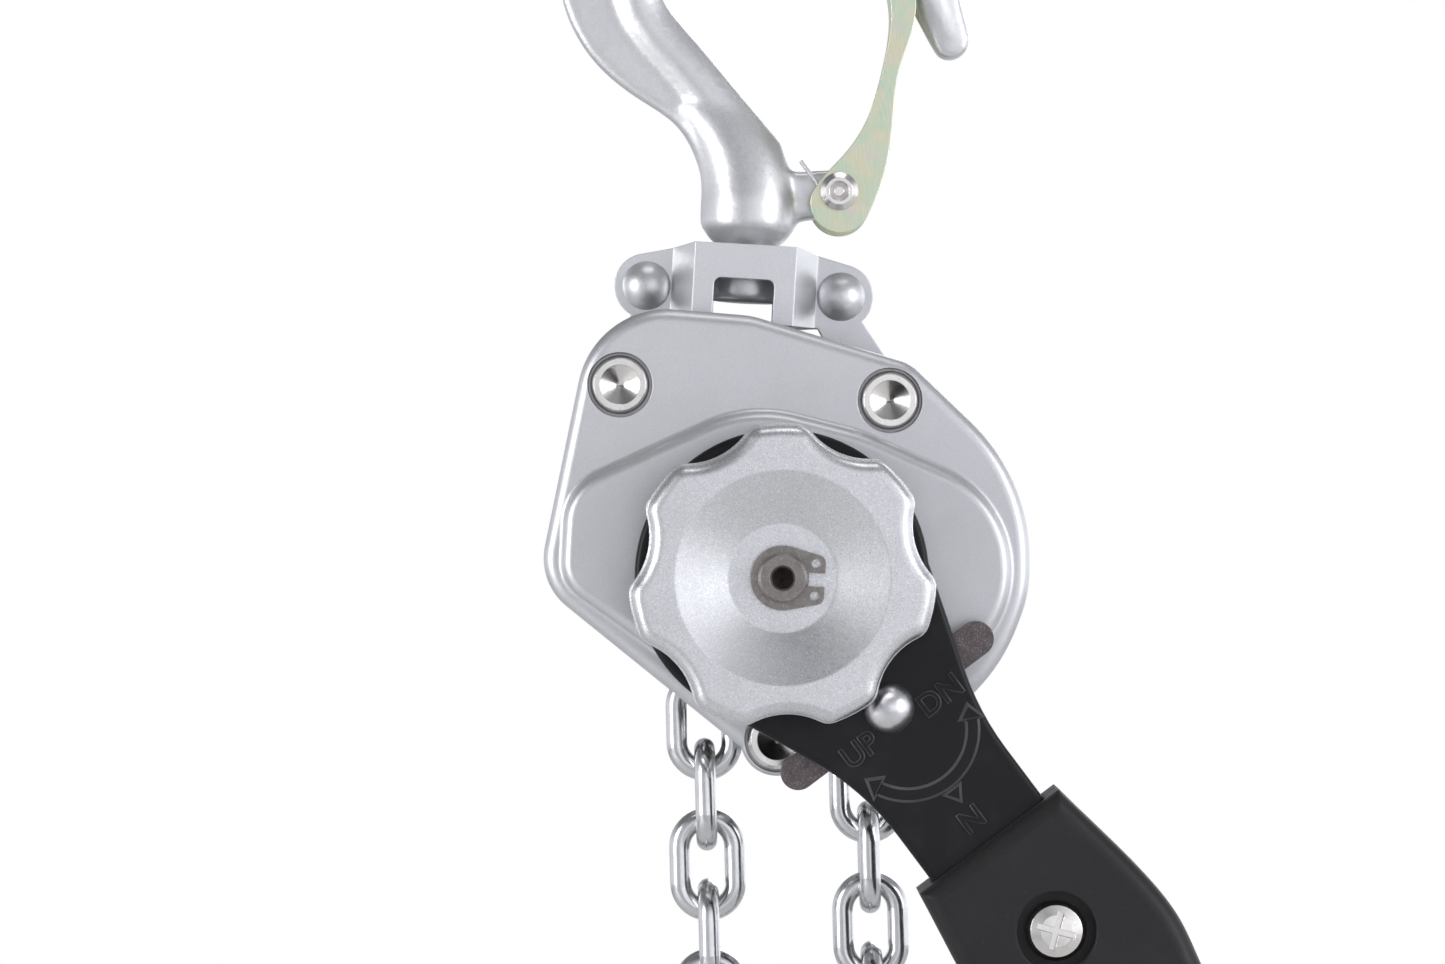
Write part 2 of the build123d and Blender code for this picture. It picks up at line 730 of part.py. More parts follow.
# ================================================================ hooks, their yokes and latches
def hook_body(frame):
    """Forged hook: round bead along the bowl, thinner web along the back, shank with a head."""
    shank_end = -61.9
    with BuildPart() as hook:
        with BuildSketch(elevation(frame, -web_half)):
            with BuildLine():
                Spline(
                    (-8.0, -55.4),
                    (-9.7, -50.3),
                    (-13.0, -45.4),
                    (-19.6, -41.2),
                    (-27.9, -35.0),
                    (-33.4, -26.2),
                    (-34.6, -12.0),
                    (-26.6, 4.6),
                    (-9.0, 13.4),
                    (11.0, 11.6),
                    (25.0, 1.6),
                    (31.3, -12.0),
                    (34.0, -21.0),
                    (36.0, -27.4),
                )
                ThreePointArc((36.0, -27.4), (34.4, -31.0), (30.9, -31.0))
                Spline(
                    (30.9, -31.0),
                    (26.0, -22.8),
                    (21.4, -14.5),
                    (14.6, -6.0),
                    (0.0, 0.0),
                    (-13.0, -5.8),
                    (-17.9, -18.5),
                    (-14.9, -26.4),
                )
                Polyline((-14.9, -26.4), (5.0, -47.4), (7.6, -55.4), (-8.0, -55.4))
            make_face()
        extrude(amount=2 * web_half)
        with BuildLine(elevation(frame)) as bead_path:
            Spline(
                (2.6, -51.0),
                (-6.0, -42.2),
                (-13.3, -34.3),
                (-20.2, -26.5),
                (-22.3, -17.5),
                (-18.0, -4.7),
                (-8.5, 2.8),
                (4.0, 4.3),
                (14.6, -0.5),
                (22.2, -8.2),
            )
        with BuildSketch(Plane(origin=bead_path.line @ 0, z_dir=bead_path.line % 0)):
            Circle(bead_radius)
        sweep()
        tip = elevation(frame).from_local_coords((32.0, -26.8, 0))
        point = tip - bead_path.line @ 1
        with Locations(Location(bead_path.line @ 1)):
            Sphere(bead_radius)
        with BuildSketch(Plane(origin=bead_path.line @ 1, z_dir=point)):
            Circle(bead_radius)
        with BuildSketch(Plane(origin=tip, z_dir=point)):
            Circle(tip_bead)
        loft()
        with Locations(Location(tip)):
            Sphere(tip_bead)
        with BuildSketch(plan(frame, -57.5)):
            Circle(shank_radius)
        with BuildSketch(plan(frame, -49.0, -2.0)):
            Ellipse(7.9, 6.4)
        with BuildSketch(plan(frame, -42.0, -7.6)):
            Ellipse(7.6, 4.6)
        loft()
        with BuildSketch(elevation(frame)):
            with BuildLine():
                Polyline(
                    (0, -57.5),
                    (shank_radius, -57.5),
                    (shank_radius, shank_end),
                    (6.0, -64.8),
                    (neck_radius, -64.8),
                    (neck_radius, -68.4),
                    (head_radius, -68.4),
                    (head_radius, -74.4),
                    (head_radius - 0.5, -74.9),
                    (0, -74.9),
                    close=True,
                )
            make_face()
        revolve(axis=Axis(frame.origin, frame.y_dir))
        with BuildSketch(elevation(frame, -3.2)):
            with Locations((latch_x, latch_z)):
                Circle(4.0)
            with Locations((4.0, latch_z - 1.5)):
                Rectangle(6.0, 7.8)
            make_hull()
            with Locations((latch_x, latch_z)):
                Circle(1.6, mode=Mode.SUBTRACT)
        extrude(amount=6.4)
    return hook


def latch_outline():
    with BuildSketch(Plane.XY, mode=Mode.PRIVATE) as side:
        with BuildLine():
            Spline(
                (latch_x - 4.7, latch_z - 1.0),
                (11.6, -54.0),
                (15.0, -49.8),
                (18.4, -44.6),
                (20.7, -37.7),
                (21.8, -32.0),
                (22.3, -24.5),
                (20.4, -17.8),
            )
            ThreePointArc((20.4, -17.8), (21.4, -15.4), (23.8, -15.8))
            Spline(
                (23.8, -15.8),
                (26.2, -21.0),
                (26.2, -26.2),
                (24.3, -33.5),
                (23.6, -40.0),
                (23.3, -47.5),
                (21.9, -54.5),
                (20.4, -58.8),
            )
            ThreePointArc((20.4, -58.8), (latch_x + 0.2, -62.3), (latch_x - 4.7, latch_z - 1.0))
        make_face()
    return side.sketch_local


def latch_body(frame):
    """Sheet-metal safety latch: two ears joined by a web on the bowl's side."""
    with BuildPart() as latch:
        with BuildSketch(elevation(frame, -latch_half)):
            add(latch_outline())
        extrude(amount=2 * latch_half)
        with BuildSketch(elevation(frame, -latch_half + latch_sheet)):
            with BuildLine():
                Polyline((0, -64), (0, -46.5), (18.9, -46.5), (21.1, -41.5), (22.1, -37.4), (23.1, -32.0))
                Polyline((23.1, -32.0), (23.6, -24.4), (21.6, -17.2), (19.0, -13.0), (32, -10))
                Polyline((32, -10), (32, -64), (0, -64))
            make_face()
        extrude(amount=2 * (latch_half - latch_sheet), mode=Mode.SUBTRACT)
        with Locations(elevation(frame, latch_half, latch_x, latch_z).location):
            Hole(1.6 + running, depth=2 * latch_half)
    return latch


def latch_rivet_body(frame):
    face = latch_half + 0.1
    profile = [(0, -face - 1.4), (2.2, -face - 1.4), (3.2, -face - 0.5), (3.2, -face), (1.6, -face)]
    profile += [(1.6, face), (3.2, face), (3.2, face + 0.6), (2.3, face + 1.3)]
    profile += [(1.7, face + 1.3), (0.8, face + 0.4), (0, face + 0.4)]
    return turned(frame, profile, latch_x, latch_z)


def latch_spring_body(frame):
    """Torsion spring: two turns in front of the hook's lug and one leg along the hook's arm."""
    with BuildPart() as spring:
        add(coil(elevation(frame, 3.6, latch_x, latch_z), 2.7, 0.7, 1.25, 0.72).part)
        with BuildLine(elevation(frame)) as leg:
            Line((latch_x - 2.7, latch_z, 4.5), (8.4, -50.4, 4.3))
        with BuildSketch(Plane(origin=leg.line @ 0, z_dir=leg.line % 0)):
            Circle(0.35)
        sweep()
    return spring


def yoke_half(frame, side, feet):
    """Pressed half of a yoke: flat ears, a bulged strap with a window, and a lip round the neck.

    side is 1 for the front half and -1 for the rear one; feet are (x, z, radius) of its lower bosses.
    """
    ear = 0.1
    flat = 8.6
    foot = 12.3
    reach = 40.0
    inner = yoke_bulge - yoke_sheet
    outline = [(-reach, ear), (-foot + 0.9, ear), (-flat + 0.9, inner), (flat - 0.9, inner)]
    outline += [(foot - 0.9, ear), (reach, ear), (reach, ear + yoke_sheet), (foot, ear + yoke_sheet)]
    outline += [(flat, yoke_bulge), (-flat, yoke_bulge), (-foot, ear + yoke_sheet)]
    outline += [(-reach, ear + yoke_sheet)]
    rivet_z = -rivet_below_seat
    top = rivet_z + 7.6
    strap_height = 13.4
    ear_radius = 5.5
    with BuildPart() as half:
        with BuildSketch(plan(frame, top - 60.0)):
            with BuildLine():
                Polyline(*[(x, -side * depth) for x, depth in outline], close=True)
            make_face()
        extrude(amount=60.0)
        with BuildSketch(plan(frame, top - 2.9)):
            with BuildLine():
                Polyline(
                    (-flat - 0.6, -side * ear),
                    (-flat - 0.6, -side * (inner + 0.4)),
                    (flat + 0.6, -side * (inner + 0.4)),
                    (flat + 0.6, -side * ear),
                    close=True,
                )
            make_face()
            Circle(neck_radius + 0.25, mode=Mode.SUBTRACT)
        extrude(amount=2.9)
        with BuildSketch(elevation(frame, -reach)):
            for x in (-rivet_half_span, rivet_half_span):
                with Locations((x, rivet_z)):
                    Circle(ear_radius)
            with Locations((0, top - strap_height / 2)):
                Rectangle(17.0, strap_height)
            make_hull()
            for x, z, radius in feet:
                with BuildSketch(mode=Mode.PRIVATE) as leg:
                    with Locations((x, z)):
                        Circle(radius)
                    with Locations((copysign_span(x) * 0.8, rivet_z)):
                        Circle(3.2)
                    make_hull()
                add(leg.sketch)
        extrude(amount=2 * reach, mode=Mode.INTERSECT)
        with BuildSketch(elevation(frame, -reach)):
            with Locations((0, rivet_z - 3.5)):
                RectangleRounded(10.2, 10.6, 1.2)
            for x in (-rivet_half_span, rivet_half_span):
                with Locations((x, rivet_z)):
                    Circle(2.4, mode=Mode.ADD)
            for x, z, radius in feet:
                with Locations((x, z)):
                    Circle(yoke_foot_bore, mode=Mode.ADD)
        extrude(amount=2 * reach, mode=Mode.SUBTRACT)
    return half


def copysign_span(x):
    """Ear that a foot hangs from: the left one, the right one, or the middle."""
    if abs(x) < 1:
        return 0.0
    return rivet_half_span if x > 0 else -rivet_half_span


yoke_foot_bore = stay_radius + stay_clearance


def yoke_rivets_body(frame):
    """Two dome-headed rivets through the ears."""
    face = yoke_sheet + 0.1
    dome = 4.15
    height = 2.9
    mid_r, mid_h = dome_middle(dome, height)
    rivets = []
    for x in (-rivet_half_span, rivet_half_span):
        with BuildPart() as rivet:
            with BuildSketch(section(frame, x, -rivet_below_seat)):
                with BuildLine():
                    Line((0, -face - height), (0, face + height))
                    ThreePointArc((0, face + height), (mid_r, face + mid_h), (dome, face))
                    Polyline((dome, face), (2.4, face), (2.4, -face), (dome, -face))
                    ThreePointArc((dome, -face), (mid_r, -face - mid_h), (0, -face - height))
                make_face()
            revolve(axis=front_axis(frame, x, -rivet_below_seat))
        rivets.append(rivet)
    return group(*rivets)


hook_frame = Plane(top_seat.location * Location((0, 0, 0), (0, hook_swivel, 0)))
top_hook = hook_body(hook_frame)
save(top_hook, "top_hook")
top_latch = latch_body(hook_frame)
save(top_latch, "top_latch")
top_latch_rivet = latch_rivet_body(hook_frame)
save(top_latch_rivet, "top_latch_rivet")
top_latch_spring = latch_spring_body(hook_frame)
save(top_latch_spring, "top_latch_spring")

stay_feet = [(x - yoke_x, z - seat_height, 4.2) for x, z in stay_points[:2]]
front_yoke_half = yoke_half(top_seat, 1, stay_feet)
save(front_yoke_half, "front_yoke_half")
rear_yoke_half = yoke_half(top_seat, -1, stay_feet)
save(rear_yoke_half, "rear_yoke_half")
yoke_rivets = yoke_rivets_body(top_seat)
save(yoke_rivets, "yoke_rivets")

# The bottom hook hangs upside down from the last link of the load strand.
last_link_z = load_pivot_z - chain_pitch * (load_links - 0.5)
pin_z = last_link_z - (chain_pitch + link_play) / 2 + pin_radius + 0.05
bottom_origin = plumb.from_local_coords((load_x, pin_z - pin_below_seat, 0))
bottom_seat = Plane(origin=bottom_origin, x_dir=(-1, 0, 0), z_dir=front)
bottom_hook = hook_body(bottom_seat)
save(bottom_hook, "bottom_hook")
bottom_latch = latch_body(bottom_seat)
save(bottom_latch, "bottom_latch")
bottom_latch_rivet = latch_rivet_body(bottom_seat)
save(bottom_latch_rivet, "bottom_latch_rivet")
bottom_latch_spring = latch_spring_body(bottom_seat)
save(bottom_latch_spring, "bottom_latch_spring")

yoke_foot_bore = pin_radius
pin_foot = [(0.0, -pin_below_seat, 8.6)]
bottom_yoke_front = yoke_half(bottom_seat, 1, pin_foot)
save(bottom_yoke_front, "bottom_yoke_front")
bottom_yoke_rear = yoke_half(bottom_seat, -1, pin_foot)
save(bottom_yoke_rear, "bottom_yoke_rear")
bottom_yoke_rivets = yoke_rivets_body(bottom_seat)
save(bottom_yoke_rivets, "bottom_yoke_rivets")
pin_face = yoke_bulge
chain_pin = turned(
    bottom_seat,
    (
        (0, -pin_face - 1.5),
        (3.4, -pin_face - 1.5),
        (3.4, -pin_face),
        (pin_radius, -pin_face),
        (pin_radius, pin_face),
        (3.4, pin_face),
        (3.4, pin_face + 1.5),
        (0, pin_face + 1.5),
    ),
    0,
    -pin_below_seat,
)
save(chain_pin, "chain_pin")

# ================================================================ lever
lever = elevation(hoist, turn=lever_angle)
lever_sheet_face = lever_front - lever_sheet
tab_slot_back = lever_back + lever_sheet + 0.1
selector_back = tab_slot_back + 0.4
selector_sheet = 1.8


def lever_outline(grow):
    """Round head tapering to the blade that carries the grip, larger by grow all round."""
    top = lever_side + blade_half + grow
    low = lever_side - blade_half - grow
    with BuildSketch(Plane.XY, mode=Mode.PRIVATE) as blade:
        with BuildLine():
            Polyline(
                (2.4, lever_disc - 0.2 + grow),
                (37.0, top),
                (blade_end + grow, top),
                (blade_end + grow, low),
                (35.6, low),
                (9.6, -lever_disc + 2.1 - grow),
                (2.4, lever_disc - 0.2 + grow),
            )
        make_face()
        fillet(blade.vertices().filter_by_position(Axis.X, 35, 38), 45.0)
        Circle(lever_disc + grow)
    return blade.sketch_local


with BuildPart() as lever_front_shell:
    with BuildSketch(elevation(lever, tab_slot_back - 0.1)):
        add(lever_outline(0))
    extrude(amount=lever_front - tab_slot_back + 0.1)
    fillet(lever_front_shell.edges().group_by(front_axis(hoist))[-1], 1.0)
    with BuildSketch(elevation(lever, tab_slot_back - 0.1)):
        add(lever_outline(-lever_sheet))
    extrude(amount=lever_sheet_face - tab_slot_back + 0.1, mode=Mode.SUBTRACT)
    with BuildSketch(elevation(lever, lever_back)):
        Circle(nose_radius + 1.2)
        with Locations((selector_x, lever_side)):
            Circle(2.5 + running)
        with Locations((grip_screw_x, lever_side)):
            Circle(2.6)
    extrude(amount=lever_front - lever_back + 1, mode=Mode.SUBTRACT)
    with BuildSketch(elevation(lever, tab_slot_back - 0.1)):
        with Locations((selector_x, lever_side)):
            Rectangle(24.0, 60.0)
        with Locations((selector_x, lever_side)):
            Rectangle(30.0, 2 * blade_half - 2.6, mode=Mode.SUBTRACT)
    extrude(amount=selector_sheet + 0.9, mode=Mode.SUBTRACT)
save(lever_front_shell, "lever_front_shell")

with BuildPart() as lever_rear_shell:
    with BuildSketch(elevation(lever, lever_back)):
        add(lever_outline(0))
        Circle(hub_radius + 0.6, mode=Mode.SUBTRACT)
        with Locations((selector_x, lever_side)):
            Circle(2.5 + running, mode=Mode.SUBTRACT)
        with Locations((grip_screw_x, lever_side)):
            Circle(2.6, mode=Mode.SUBTRACT)
    extrude(amount=lever_sheet)
save(lever_rear_shell, "lever_rear_shell")

with BuildPart() as selector_plate:
    with BuildSketch(elevation(lever, selector_back, selector_x, lever_side)):
        Circle(7.0)
        Rectangle(2 * tab_radius, 2 * selector_reach)
        with Locations((0, selector_reach), (0, -selector_reach)):
            Circle(tab_radius)
        Circle(2.5, mode=Mode.SUBTRACT)
    extrude(amount=selector_sheet)
save(selector_plate, "selector_plate")

pawl_back = selector_back + selector_sheet + 0.1
with BuildPart() as selector_pawl:
    with BuildSketch(elevation(lever, pawl_back, selector_x, lever_side)):
        Circle(4.6)
        with Locations((-7.2, 5.6), (-7.2, -5.6)):
            Circle(1.0)
        make_hull()
        with Locations((-13.5, 0)):
            Circle(7.6, mode=Mode.SUBTRACT)
        Circle(2.5, mode=Mode.SUBTRACT)
    extrude(amount=2.8)
save(selector_pawl, "selector_pawl")

with BuildPart() as selector_pin:
    with BuildSketch(section(lever, selector_x, lever_side)):
        with BuildLine():
            face = lever_front + 0.1
            Polyline((0, face + dome_height), (0, lever_back - 0.6), (2.5, lever_back - 0.6), (2.5, face))
            Line((2.5, face), (dome_radius, face))
            mid_r, mid_h = dome_middle(dome_radius, dome_height)
            ThreePointArc((dome_radius, face), (mid_r, face + mid_h), (0, face + dome_height))
        make_face()
    revolve(axis=front_axis(lever, selector_x, lever_side))
save(selector_pin, "selector_pin")

plunger_start = selector_x + 4.8
plunger_radius = 1.2
plunger_plane = Plane(
    origin=lever.from_local_coords((plunger_start + plunger_radius, lever_side, pawl_back + 1.4)),
    x_dir=lever.y_dir,
    z_dir=lever.x_dir,
)
with BuildPart() as detent_plunger:
    with Locations(plunger_plane.location):
        Sphere(plunger_radius)
    with BuildSketch(plunger_plane):
        Circle(plunger_radius)
    extrude(amount=5.0)
save(detent_plunger, "detent_plunger")

spring_plane = Plane(
    origin=lever.from_local_coords((plunger_start + 7.5, lever_side, pawl_back + 1.4)),
    x_dir=lever.y_dir,
    z_dir=lever.x_dir,
)
detent_spring = coil(spring_plane, 1.5, 0.6, 7, 1.2)
save(detent_spring, "detent_spring")


# ---------------------------------------------------------------- grip
def grip_outline(grow):
    """Long grip with a finger swell near its front end, larger by grow at its sides."""
    start = 14.2 + grow
    swell = 17.2 + grow
    waist = 15.4 + grow
    tail = 13.2 + grow
    with BuildSketch(Plane.XY, mode=Mode.PRIVATE) as handle:
        with BuildLine():
            Spline(
                (grip_start, lever_side + start),
                (75.0, lever_side + swell),
                (83.5, lever_side + swell),
                (92.0, lever_side + waist),
                (120.0, lever_side + waist - 0.8),
                (grip_end - 10.0, lever_side + tail),
            )
            ThreePointArc(
                (grip_end - 10.0, lever_side + tail),
                (grip_end, lever_side),
                (grip_end - 10.0, lever_side - tail),
            )
            Spline(
                (grip_end - 10.0, lever_side - tail),
                (120.0, lever_side - waist + 0.8),
                (92.0, lever_side - waist),
                (83.5, lever_side - swell),
                (75.0, lever_side - swell),
                (grip_start, lever_side - start),
            )
            Line((grip_start, lever_side - start), (grip_start, lever_side + start))
        make_face()
    return handle.sketch_local


def grip_pocket():
    """Room for the blade inside the grip."""
    with Locations(((grip_start + blade_end) / 2, lever_side)):
        Rectangle(blade_end - grip_start + 0.3, 2 * blade_half + 0.2)
    with Locations((grip_start, lever_side)):
        Rectangle(4.0, 2 * blade_half + 0.2)


with BuildPart() as grip_front_half:
    with BuildSketch(elevation(lever, grip_split + 0.05)):
        add(grip_outline(0))
    extrude(amount=grip_front - grip_split - 0.05)
    fillet(grip_front_half.edges().group_by(front_axis(hoist))[-1], 3.0)
    with BuildSketch(elevation(lever, grip_split)):
        grip_pocket()
    extrude(amount=lever_front + 0.1 - grip_split, mode=Mode.SUBTRACT)
    with Locations(elevation(lever, grip_front, grip_screw_x, lever_side).location):
        CounterBoreHole(radius=2.6, counter_bore_radius=6.5, counter_bore_depth=2.6, depth=20)
save(grip_front_half, "grip_front_half")

with BuildPart() as grip_rear_half:
    with BuildSketch(elevation(lever, grip_back)):
        add(grip_outline(0))
    extrude(amount=grip_split - grip_back - 0.05)
    fillet(grip_rear_half.edges().group_by(front_axis(hoist))[0], 3.0)
    with BuildSketch(elevation(lever, lever_back - 0.1)):
        grip_pocket()
    extrude(amount=grip_split, mode=Mode.SUBTRACT)
    with Locations(elevation(lever, lever_back, grip_screw_x, lever_side).location):
        Hole(2.6, depth=10)
save(grip_rear_half, "grip_rear_half")

screw_seat = grip_front - 2.6
screw_blank = turned(
    lever,
    (
        (0, grip_back + 1.0),
        (2.4, grip_back + 1.0),
        (2.4, screw_seat),
        (4.9, screw_seat),
        (4.9, screw_seat + 1.0),
        (4.2, screw_seat + 1.9),
        (2.6, screw_seat + 2.3),
        (0, screw_seat + 2.4),
    ),
    grip_screw_x,
    lever_side,
)
with BuildPart() as grip_screw:
    add(screw_blank.part)
    for turn in (0, 90):
        with BuildSketch(elevation(lever, screw_seat + 1.2, grip_screw_x, lever_side, 38 + turn)):
            Rectangle(6.4, 1.0)
        extrude(amount=3, mode=Mode.SUBTRACT)
save(grip_screw, "grip_screw")

with BuildPart() as grip_nut:
    with BuildSketch(elevation(lever, lever_back + lever_sheet + 0.05, grip_screw_x, lever_side)):
        RegularPolygon(4.6, 6)
        Circle(2.4, mode=Mode.SUBTRACT)
    extrude(amount=3.6)
save(grip_nut, "grip_nut")


# ================================================================ hand knob and its clip
def knob_outline(grow):
    cut_radius = 12.0
    Circle(knob_radius + grow)
    with PolarLocations(knob_valley + cut_radius + grow, knob_lobes, start_angle=knob_turn + 180 / knob_lobes):
        Circle(cut_radius, mode=Mode.SUBTRACT)


with BuildPart() as hand_knob:
    with BuildSketch(elevation(hoist, knob_back)) as knob_face:
        knob_outline(0)
        fillet(knob_face.vertices(), 3.2)
    extrude(amount=knob_front - knob_back)
    fillet(hand_knob.edges().group_by(front_axis(hoist))[-1], 2.0)
    with BuildSketch(elevation(hoist, knob_back)) as knob_lip:
        knob_outline(0.45)
        fillet(knob_lip.vertices(), 3.2)
    extrude(amount=0.7)
    with BuildSketch(elevation(hoist, lever_front + 0.7)):
        Circle(nose_radius + 2.2)
    extrude(amount=knob_back - lever_front)
    with BuildSketch(section(hoist)):
        with BuildLine():
            Polyline(
                (0, knob_front - dish_depth),
                (hub_face_radius, knob_front - dish_depth),
                (dish_radius, knob_front),
                (dish_radius, knob_front + 1),
                (0, knob_front + 1),
                close=True,
            )
        make_face()
    revolve(axis=front_axis(hoist), mode=Mode.SUBTRACT)
    with BuildSketch(section(hoist)):
        with BuildLine():
            Polyline(
                (nose_radius + 2.2, knob_back - 1),
                (knob_valley - 2.2, knob_back - 1),
                (knob_valley - 2.6, knob_back + 2.6),
                (nose_radius + 3.0, knob_back + 2.6),
                close=True,
            )
        make_face()
    revolve(axis=front_axis(hoist), mode=Mode.SUBTRACT)
    with BuildSketch(elevation(hoist, lever_front)):
        Circle(nose_radius)
    extrude(amount=46.0 - lever_front, mode=Mode.SUBTRACT)
    with BuildSketch(elevation(hoist, lever_front)):
        Circle(tip_radius + running)
    extrude(amount=20, mode=Mode.SUBTRACT)
save(hand_knob, "hand_knob")

clip_outer = 5.2
with BuildPart() as knob_clip:
    with BuildSketch(elevation(hoist, groove_back + 0.05)):
        Circle(clip_outer)
        with Locations((5.5, 2.7), (5.5, -2.7)):
            Circle(1.3)
        make_hull()
        Circle(clip_groove_radius, mode=Mode.SUBTRACT)
        with Locations((5.5, 0)):
            Rectangle(6.0, 2.2, mode=Mode.SUBTRACT)
        with Locations((5.3, 2.6), (5.3, -2.6)):
            Circle(0.75, mode=Mode.SUBTRACT)
    extrude(amount=clip_thickness)
save(knob_clip, "knob_clip")
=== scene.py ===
"""Studio picture of the small ratchet lever chain hoist, seen square on from its lever side."""
import json
from math import atan2, cos, radians, sin, sqrt

import bmesh
import bpy
from mathutils import Matrix, Vector


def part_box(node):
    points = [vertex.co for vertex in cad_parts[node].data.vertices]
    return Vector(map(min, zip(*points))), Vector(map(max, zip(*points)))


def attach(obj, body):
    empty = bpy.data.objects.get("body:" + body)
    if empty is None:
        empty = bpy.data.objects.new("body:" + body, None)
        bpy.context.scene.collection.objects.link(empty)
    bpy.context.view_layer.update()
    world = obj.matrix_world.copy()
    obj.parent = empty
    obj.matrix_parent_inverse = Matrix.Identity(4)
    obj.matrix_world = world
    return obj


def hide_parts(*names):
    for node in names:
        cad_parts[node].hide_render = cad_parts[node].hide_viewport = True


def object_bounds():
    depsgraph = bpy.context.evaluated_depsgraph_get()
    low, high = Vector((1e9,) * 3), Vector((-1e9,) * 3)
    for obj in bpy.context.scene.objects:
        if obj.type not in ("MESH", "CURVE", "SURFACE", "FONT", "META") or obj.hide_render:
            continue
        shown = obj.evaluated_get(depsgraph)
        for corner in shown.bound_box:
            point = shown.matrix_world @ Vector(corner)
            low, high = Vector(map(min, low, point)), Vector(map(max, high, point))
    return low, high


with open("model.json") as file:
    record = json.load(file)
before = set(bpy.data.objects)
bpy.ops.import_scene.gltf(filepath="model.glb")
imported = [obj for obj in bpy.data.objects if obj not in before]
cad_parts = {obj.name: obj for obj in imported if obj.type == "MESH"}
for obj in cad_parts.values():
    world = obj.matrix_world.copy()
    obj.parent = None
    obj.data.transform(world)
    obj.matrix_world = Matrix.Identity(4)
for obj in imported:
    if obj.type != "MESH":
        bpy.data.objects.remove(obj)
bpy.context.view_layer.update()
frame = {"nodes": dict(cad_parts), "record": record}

nodes = frame["nodes"]
joints = {joint["name"]: joint for joint in frame["record"]["behaviour"]["joints"]}
MM = 0.001

# ---------------------------------------------------------------- places taken from the frame
hub = Vector(joints["lever_turn"]["pos_m"])
selector_pivot = Vector(joints["selector_turn"]["pos_m"])
lever_side = 1.1 * MM  # the blade's centre line beside the drive axis
reach = selector_pivot - hub
lever_angle = atan2(reach.z, reach.x) - atan2(lever_side, sqrt(reach.length_squared - lever_side**2))
lever_along = Vector((cos(lever_angle), 0, sin(lever_angle)))
lever_across = Vector((-sin(lever_angle), 0, cos(lever_angle)))
lever_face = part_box("lever_front_shell")[0][1]


def lever_point(along, across, depth=0.0):
    """Point on the lever's front face, in millimetres along and across the lever, raised by depth."""
    spot = hub + lever_along * along * MM + lever_across * across * MM
    return Vector((spot.x, lever_face - depth * MM, spot.z))


